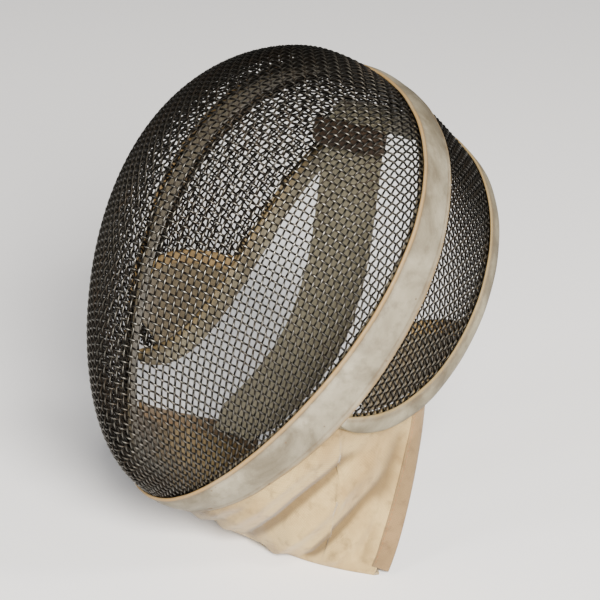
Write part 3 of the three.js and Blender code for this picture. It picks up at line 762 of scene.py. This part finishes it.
# ---- spring tongue ----
def spring_tongue():
    """A covered steel strip: a flat outline, raised along its middle where the steel lies, carried down
    its line and narrowed at the tip. Stitches beside the steel leave a groove down each side."""
    t = np.linspace(0, 1, 161)
    line = spline(TONGUE_LINE, t)
    centre = vec(0, line[:, 0], line[:, 1])
    tangent = unit(np.gradient(centre, axis=0))
    normal = unit(np.cross(np.array([1.0, 0, 0]), tangent))
    turn_by = 2 * np.pi * np.arange(40) / 40
    across = signed_power(np.cos(turn_by), 0.35) * TONGUE_WIDTH / 2
    away = np.abs(across)
    steel = 0.75 + 0.25 * (1 - smooth((away - 15) / 2)) - 0.25 * np.exp(-(((away - 18) / 1.2) ** 2))
    height = signed_power(np.sin(turn_by), 0.5) * TONGUE_THICKNESS / 2 * steel
    taper = 1 - 0.35 * smooth((t - 0.93) / 0.07)
    sections = centre[:, None] + normal[:, None] * height[None, :, None]
    sections[..., 0] += across[None, :] * taper[:, None]
    points, faces = carried(place(sections))
    uv = vec(across[None, :], t[:, None] * TONGUE_LENGTH, 0)[..., :2]
    return finished("covered_spring_tongue", points, faces, tongue_cloth, ("spring_tongue",),
                    uv=uv)


spring_tongue()


# ---- crown pad ----
def crown_pad():
    """A stuffed leather pad: a rounded box, each side a power of cosine and sine, fullest in its middle."""
    u, v = np.meshgrid(np.linspace(0, 2 * np.pi, 97)[:-1], np.linspace(-np.pi / 2, np.pi / 2, 49),
                       indexing="ij")
    flat = signed_power(np.cos(v), 0.55)
    x, z = signed_power(np.cos(u), 0.35) * flat, signed_power(np.sin(u), 0.35) * flat
    y = signed_power(np.sin(v), 0.8) * (0.8 + 0.2 * (1 - np.maximum(np.abs(x), np.abs(z)) ** 2))
    local = np.stack([x, y, z], -1) * PAD_SIZE / 2
    c, s = np.cos(PAD_TILT), np.sin(PAD_TILT)
    tilted = vec(local[..., 0], c * local[..., 1] - s * local[..., 2], s * local[..., 1] + c * local[..., 2])
    grid = place(tilted + PAD_PLACE)
    rows, columns = grid.shape[:2]
    poles = np.arange(rows)[None, :] * columns
    faces = outward_faces(grid, [quads(rows, columns, ring_rows=True), poles[:, ::-1], poles + columns - 1])
    piece = finished("stuffed_crown_pad", grid, faces, pad_leather, ("crown_pad",))


crown_pad()


# ---- bib ----
def sewn_edge(part):
    """The line where the bib is sewn in: part 0 at the chin, 1 inside the left end of the trim, -1 on
    the band to the right. Returns its points and the directions in which the cloth leaves them, on the
    table's frame."""
    t = np.abs(part)
    right = np.pi - (np.pi - RIGHT_END) * t
    jaw = np.pi - (np.pi - WING_END) * np.minimum(t / JAW_SHARE, 1)
    turn_in = smooth((t / JAW_SHARE - 0.72) / 0.28)
    angle = np.where(part < 0, right, jaw)
    distance = np.where(part < 0, BIB_START, BIB_START + TURN_IN * turn_in)
    level = np.where(part < 0, BAND_LEVEL, mix(BAND_LEVEL, SEWN_LEVEL, turn_in))
    on_band, band_across = band_point(angle, distance, level), band_frame(angle)[0]
    up_trim = mix(1, HEM_PART, np.clip((t - JAW_SHARE) / (1 - JAW_SHARE), 0, 1))
    on_trim, trim_across = wing_place(up_trim, SEWN_SETBACK, SEWN_LEVEL)
    beyond = ((part > 0) & (t >= JAW_SHARE))[..., None]
    point = place(np.where(beyond, on_trim, on_band))
    direction = turn(np.where(beyond, trim_across, band_across))
    side = np.where(part < 0, -1, 1)
    point[..., 0] *= side
    direction[..., 0] *= side
    return point, direction


def bib_drop(part, drop):
    """The cloth from the sewn edge down to the table: a Bezier curve for each part, leaving along the
    band and coming down steeply, more loosely on the right."""
    rest = BIB_THICKNESS / 2
    point, direction = sewn_edge(part)
    foot = spline(TABLE_LINE, (part + 1) / 2)
    foot = vec(foot[..., 0], foot[..., 1] + SHIFT, rest)
    reach = np.linalg.norm(point - foot, axis=-1, keepdims=True) / 3
    lead = point + direction * reach * BIB_SWELL
    fall = mix(foot, point, 0.3)
    fall[..., 2] = rest + reach[..., 0] * (0.25 + 0.5 * np.maximum(0, -part))
    t = drop[..., None]
    return (1 - t) ** 3 * point + 3 * t * (1 - t) ** 2 * lead + 3 * t**2 * (1 - t) * fall + t**3 * foot


def folds(part, drop):
    """Heights of all the folds over the cloth: each a ridge or valley along a bowed line, with its
    height running out at both its ends, and none at the sewn edge or where the cloth turns on to the
    table."""
    cloth = np.stack([part, drop], -1) * CLOTH_SPAN
    total = np.zeros_like(part)
    for start, end, bow, height, width in FOLDS:
        first, last = np.array(start) * CLOTH_SPAN, np.array(end) * CLOTH_SPAN
        run = last - first
        length = np.linalg.norm(run)
        t = np.clip((cloth - first) @ run / length**2, 0, 1)
        across = (cloth - first) @ np.array([-run[1], run[0]]) / length
        away = (across - bow * 4 * t * (1 - t)) / width
        total += height * np.sin(np.pi * t) ** 0.7 * np.exp(-np.abs(away) ** 1.7)
    return total * smooth(drop / 0.25) * smooth((1 - drop) / 0.14)


def bib():
    """The bib's drop, with its folds laid along its normals, then its lower part flat on the table.
    Painted shade darkens the valleys of the folds, and a painted shadow darkens the cloth under the chin and
    along the sewn edge."""
    rest = BIB_THICKNESS / 2
    part = np.linspace(-BIB_END, BIB_END, BIB_COLUMNS)
    drop = np.linspace(0, 1, BIB_ROWS)
    d, p = np.meshgrid(drop, part, indexing="ij")
    hang = bib_drop(p, d)
    foot = spline(TABLE_LINE, (part + 1) / 2)
    tip = spline(BOTTOM_EDGE, (part + 1) / 2)
    f = np.linspace(0, 1, FLAT_ROWS)[1:, None, None]
    flat = mix(foot[None], tip[None], f)
    flat = vec(flat[..., 0], flat[..., 1] + SHIFT, rest)
    grid = np.concatenate([hang, flat])
    normals = grid_normals(grid)
    fade = smooth(d / 0.12) * smooth((1 - d) / 0.1)
    crumple = 0.35 * ripple(0.5 * d + 0.4 * p, 31, 8, 3) + 0.3 * ripple(0.7 * p - 0.3 * d, 32, 9, 4)
    height = folds(p, d) + fade * crumple
    grid[: len(drop)] -= normals[: len(drop)] * height[..., None]
    normals = grid_normals(grid)
    downwards = np.sign(normals[-1, len(part) // 2, 2])
    normals[len(drop) - 1 :] = (0, 0, downwards)
    points, faces = cloth_wall(grid, BIB_THICKNESS, normals)
    points[:, 2] = np.maximum(points[:, 2], 0)
    along = np.linalg.norm(np.diff(grid, axis=0), axis=-1).cumsum(axis=0).mean(axis=1)
    across = np.linalg.norm(np.diff(grid[BIB_ROWS // 2], axis=0), axis=-1).cumsum()
    v, u = np.meshgrid(np.append(0, along), np.append(0, across), indexing="ij")
    uv = np.tile(np.stack([u, v], -1).reshape(-1, 2), (2, 1))
    # Painted shade: deeper in the valleys of the folds.
    painted_fold_shade = np.zeros(grid.shape[:2])
    painted_fold_shade[: len(drop)] = smooth(-folds(p, d) / 2.6)
    # Painted shadow: under the chin, and along the sewn edge where the cloth leaves the band.
    painted_shadow = np.zeros(grid.shape[:2])
    under_chin = np.exp(-((d / 0.5) ** 3)) * smooth((0.4 - p) / 0.35)
    painted_shadow[: len(drop)] = 0.9 * under_chin + 0.5 * np.exp(-((d / 0.16) ** 2))
    painted_shadow = np.tile(np.clip(painted_shadow, 0, 1), (2, 1, 1))
    values = {"painted_fold_shade": np.tile(painted_fold_shade, (2, 1, 1)), "painted_shadow": painted_shadow}
    return finished("canvas_bib", points, faces, bib_canvas, ("bib",), uv=uv, values=values)


def bib_hem(name, side, node):
    """The cloth folded back over itself down a side edge: a flattened outline carried along the edge."""
    drop = np.linspace(*HEM_DROP, HEM_RINGS)
    part = np.full_like(drop, side * BIB_END)
    line, inner = bib_drop(part, drop), bib_drop(part - side * 0.025, drop)
    tangent = unit(np.gradient(line, axis=0))
    outward = line - inner
    outward = unit(outward - tangent * (outward * tangent).sum(-1, keepdims=True))
    normal = np.cross(tangent, outward)
    half = HEM_THICKNESS / 2
    outline = np.array([
        (-3.2, -1.0), (-2.6, -1.45), (0, -half * 0.92), (3, -half), (HEM_WIDTH - 1.4, -half * 0.8),
        (HEM_WIDTH - 0.2, -half * 0.4), (HEM_WIDTH, 0), (HEM_WIDTH - 0.2, half * 0.4),
        (HEM_WIDTH - 1.4, half * 0.8),
        (3, half), (0, half * 0.92), (-2.6, 1.45), (-3.2, 1.0),
    ])
    puff = 1 + 0.08 * ripple(drop, 41, 12, 5)[:, None]
    sections = (
        line[:, None]
        + outward[:, None] * outline[None, :, :1]
        + normal[:, None] * (outline[None, :, 1] * puff)[..., None]
    )
    points, faces = carried(sections)
    uv = vec(outline[None, :, 0], np.arange(HEM_RINGS)[:, None], 0)[..., :2]
    hem = finished(name, points, faces, hem_canvas, (node,), uv=uv)
    return hem, line, outward, normal


def stitches(name, line, outward, normal):
    """A row of stitches: small rounded threads, one every STITCH_PITCH along a line, each lying on the
    hem's face."""
    run = np.concatenate([[0], np.linalg.norm(np.diff(line, axis=0), axis=-1).cumsum()])
    count = int(run[-1] / STITCH_PITCH)
    middle = (np.arange(count) + 0.5) * STITCH_PITCH
    rings, sides = 7, 6
    t = np.linspace(-1, 1, rings)
    at = middle[:, None] + t[None, :] * STITCH_LENGTH / 2

    def look_up(values):
        return np.stack([np.interp(at, run, values[:, k]) for k in range(3)], -1)

    out, up = unit(look_up(outward)), unit(look_up(normal))
    radius = 0.32 * np.sqrt(np.maximum(1 - t**2, 0.02))
    turn_by = 2 * np.pi * np.arange(sides) / sides
    centre = look_up(line) + out * STITCH_INSET + up * (STITCH_LEVEL - 0.15 * t**2)[None, :, None]
    ring = np.cos(turn_by)[:, None] * up[..., None, :] + np.sin(turn_by)[:, None] * out[..., None, :]
    points = centre[..., None, :] + radius[None, :, None, None] * ring
    wall = quads(rings, sides, ring_columns=True)
    first = np.arange(sides)[None, :]
    last = first + (rings - 1) * sides
    shift = (np.arange(count) * rings * sides)[:, None, None]
    faces = [(group[None] + shift).reshape(-1, group.shape[1]) for group in (wall, first[:, ::-1], last)]
    faces = outward_faces(points, faces)
    uv = np.zeros((points.size // 3, 2))
    return finished(name, points, faces, sewing_thread, (), uv=uv)


cloth = bib()
for hand, side in (("left", 1), ("right", -1)):
    name = f"folded_hem_{hand}"
    hem, line, outward, normal = bib_hem(name, side, f"bib_hem_{hand}")
    for face, sign in (("outside", 1), ("inside", -1)):
        stitches(f"{name}_stitches_{face}", line, outward, normal * sign)

# ---- floor, light and camera ----
FLOOR_SIZE = 16
bpy.ops.mesh.primitive_plane_add(size=FLOOR_SIZE, location=(0, 0, 0))
floor = bpy.context.object
floor.name = "pale_table"
floor_material, _, floor_shader = new_material("painted_board", Roughness=0.75)
floor_shader.inputs["Base Color"].default_value = linear("#f4f4f5")
floor.data.materials.append(floor_material)

world = bpy.data.worlds.new("studio")
bpy.context.scene.world = world
world.use_nodes = True
world.node_tree.nodes["Background"].inputs["Color"].default_value = linear("#eceef2")
world.node_tree.nodes["Background"].inputs["Strength"].default_value = 0.16


LIGHT_DISTANCE, LIGHT_AIM = 5.0, (0, 0, 0.15)


def soft_light(name, azimuth, elevation, size, power, colour):
    """A square area light that looks at the mask's middle from an azimuth and elevation in degrees."""
    a, e = np.radians([azimuth, elevation])
    light = bpy.data.lights.new(name, "AREA")
    light.size, light.energy, light.color = size, power, linear(colour)[:3]
    lamp = bpy.data.objects.new(name, light)
    direction = np.array([np.sin(a) * np.cos(e), -np.cos(a) * np.cos(e), np.sin(e)])
    lamp.location = LIGHT_DISTANCE * direction + LIGHT_AIM
    lamp.rotation_euler = (np.pi / 2 - e, 0, a)
    bpy.context.scene.collection.objects.link(lamp)


soft_light("key", 54, 24, 1.7, 1180, "#fffaf2")
soft_light("left", -10, 34, 1.2, 70, "#f6f8ff")
soft_light("right", 110, 48, 1.1, 80, "#fffaf4")

AZIMUTH, ELEVATION, DISTANCE = np.radians(43.5), np.radians(18.0), 1.78
camera_data = bpy.data.cameras.new("camera")
camera_data.lens = 169.6
camera_data.shift_x, camera_data.shift_y = 0.082, -0.040
camera = bpy.data.objects.new("camera", camera_data)
direction = np.array([
    np.sin(AZIMUTH) * np.cos(ELEVATION), -np.cos(AZIMUTH) * np.cos(ELEVATION), np.sin(ELEVATION),
])
camera.location = np.array([0, SHIFT, STAND_HEIGHT]) * 1e-3 + DISTANCE * direction
camera.rotation_euler = (np.pi / 2 - ELEVATION, 0, AZIMUTH)
bpy.context.scene.collection.objects.link(camera)
bpy.context.scene.camera = camera

bpy.context.view_layer.update()
